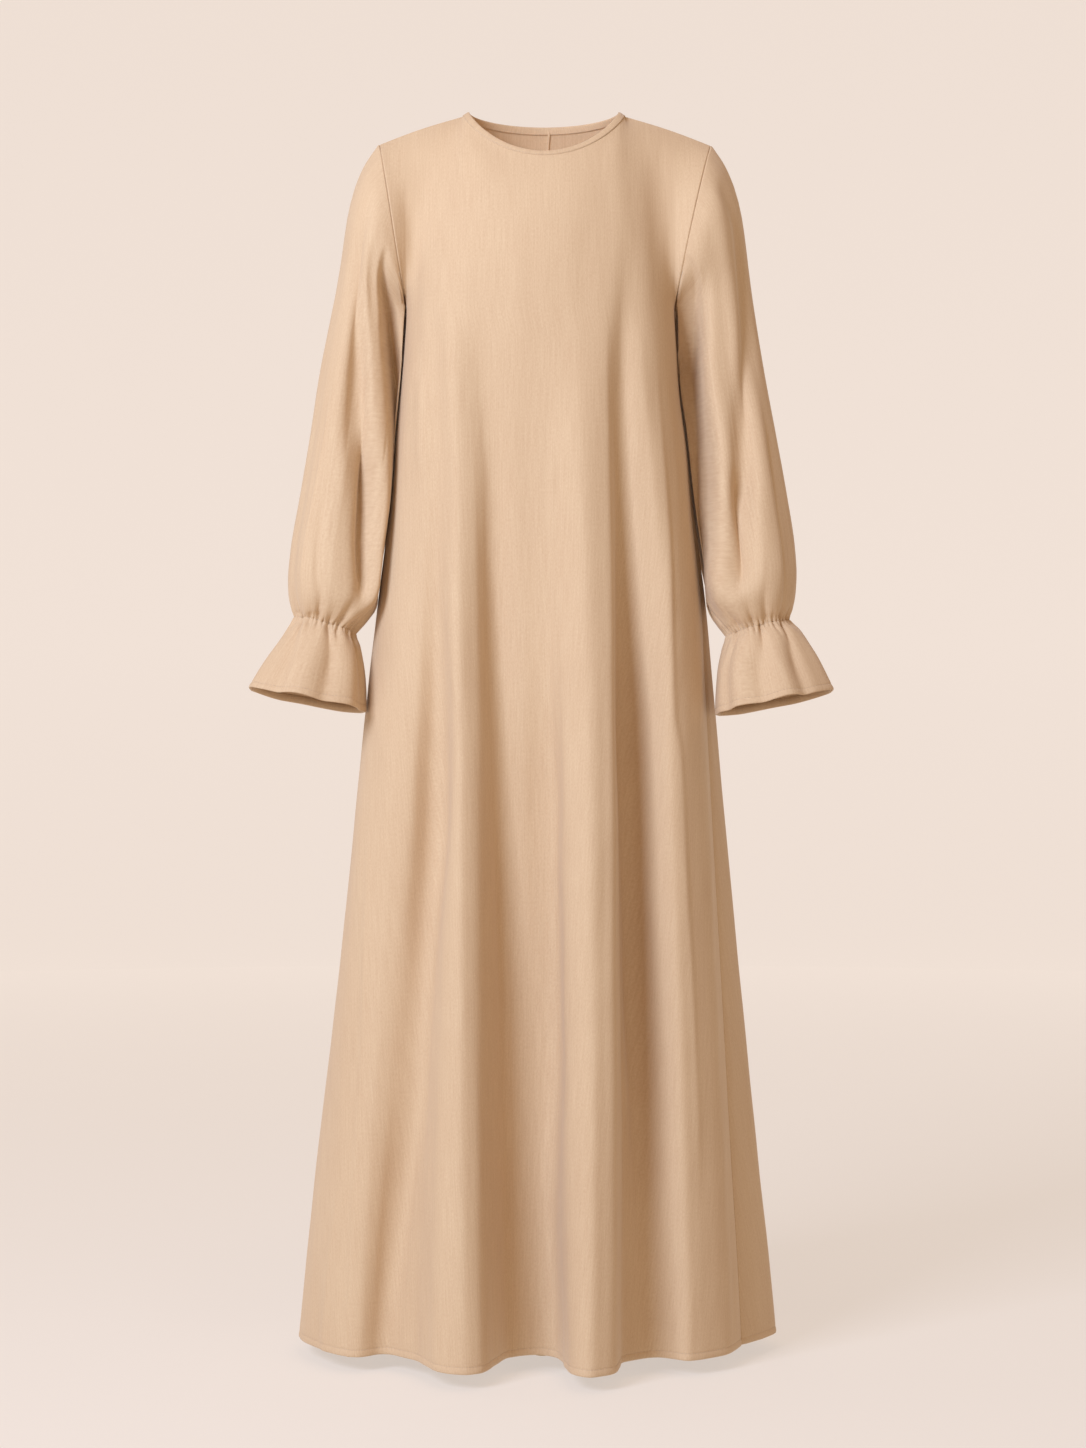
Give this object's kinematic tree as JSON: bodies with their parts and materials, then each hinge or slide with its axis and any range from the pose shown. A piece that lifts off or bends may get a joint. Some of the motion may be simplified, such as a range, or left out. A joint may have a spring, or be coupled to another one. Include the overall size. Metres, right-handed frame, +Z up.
{
  "type": "abaya",
  "caption": "Long A-line abaya with round bound neck, set-in bishop sleeves and shirred wrists with a flared ruffle, filled out as worn.",
  "frame": {"origin": "midway between the two points where the shoulder seams meet the neck, where the garment is held", "axes": "+Z up along the centre front, front faces -Y, the wearer's left is +X"},
  "size_m": [0.6655, 0.3939, 1.4186],
  "materials": {
    "front": "matt woven crepe",
    "back_left": "matt woven crepe",
    "back_right": "matt woven crepe",
    "sleeve_left": "matt woven crepe",
    "sleeve_right": "matt woven crepe",
    "neck_binding": "matt woven crepe"
  },
  "bodies": {
    "root": {"front": "front", "back_left": "back_left", "back_right": "back_right", "sleeve_left": "sleeve_left", "sleeve_right": "sleeve_right", "neck_binding": "neck_binding"}
  },
  "joints": []
}
